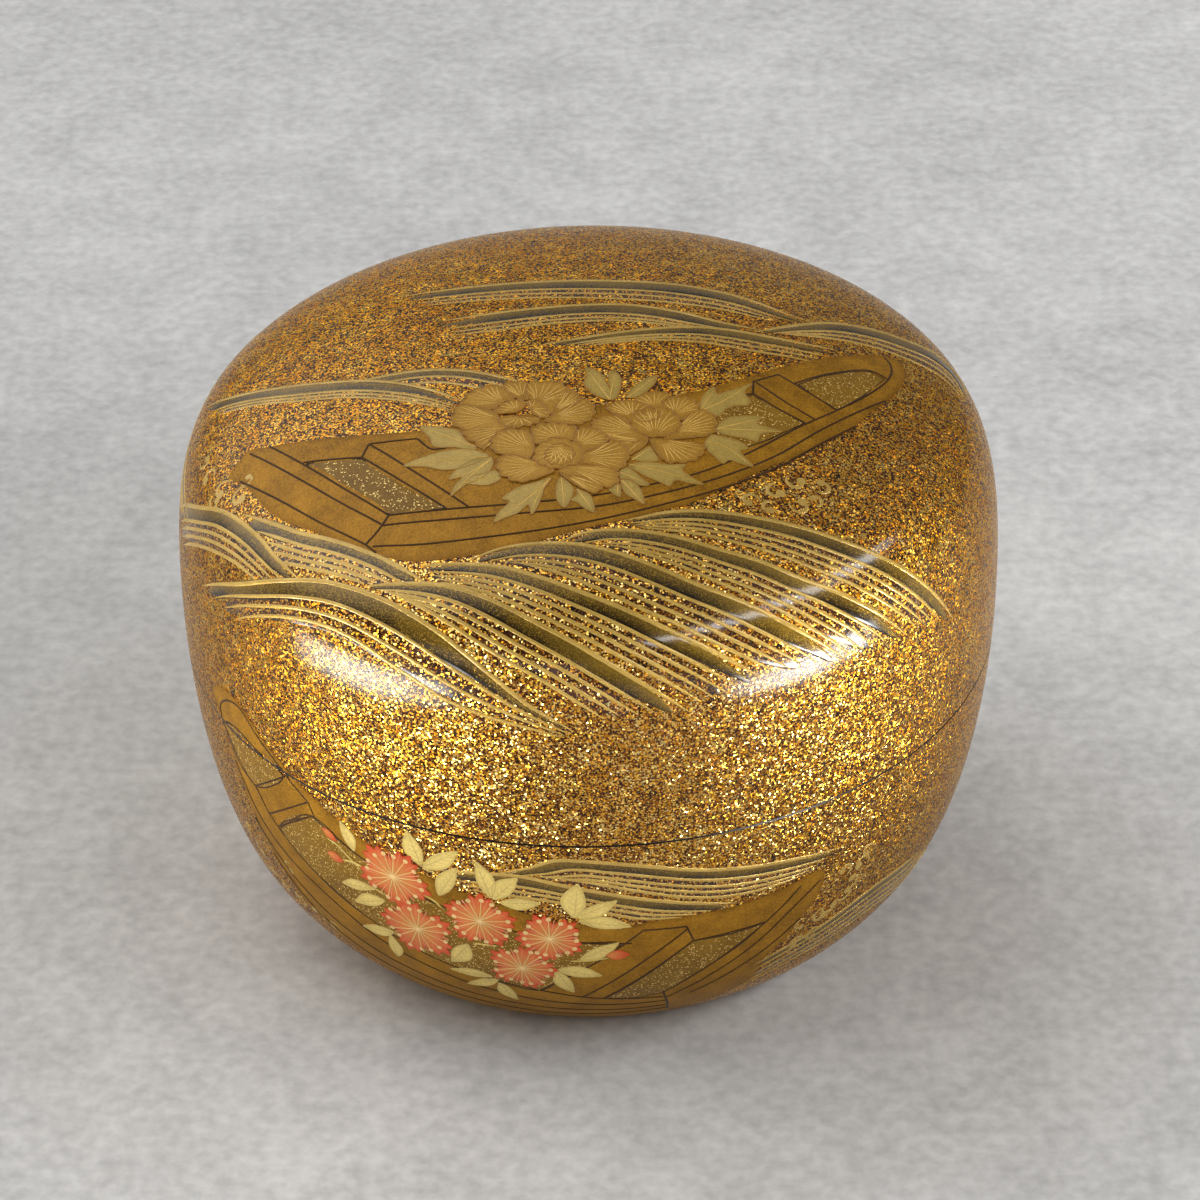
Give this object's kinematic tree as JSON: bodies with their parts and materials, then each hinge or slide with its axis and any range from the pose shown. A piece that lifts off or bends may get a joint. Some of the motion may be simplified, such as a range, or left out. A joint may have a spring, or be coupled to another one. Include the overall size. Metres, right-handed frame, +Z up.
{
  "type": "lacquer tea caddy",
  "caption": "Low round lidded caddy for powdered tea, in gold-sprinkled lacquer with laid gold boats, waves and flowers; the deep lid lifts off a raised collar.",
  "frame": {"origin": "centre of the foot, on the surface the caddy stands on", "axes": "+Z up along the turning axis, -Y towards the front of the picture, +X to its right"},
  "size_m": [0.082, 0.082, 0.062],
  "materials": {
    "gold_flake_lacquer": "gold flakes scattered in amber lacquer over turned wood, polished to a high gloss",
    "laid_gold": "gold powder laid in lacquer, satin to glossy",
    "black_lacquer": "black lacquer over turned wood, glossy",
    "red_lacquer": "vermilion lacquer, glossy"
  },
  "bodies": {
    "root": {"lid": "gold_flake_lacquer", "body": "gold_flake_lacquer"}
  },
  "joints": []
}
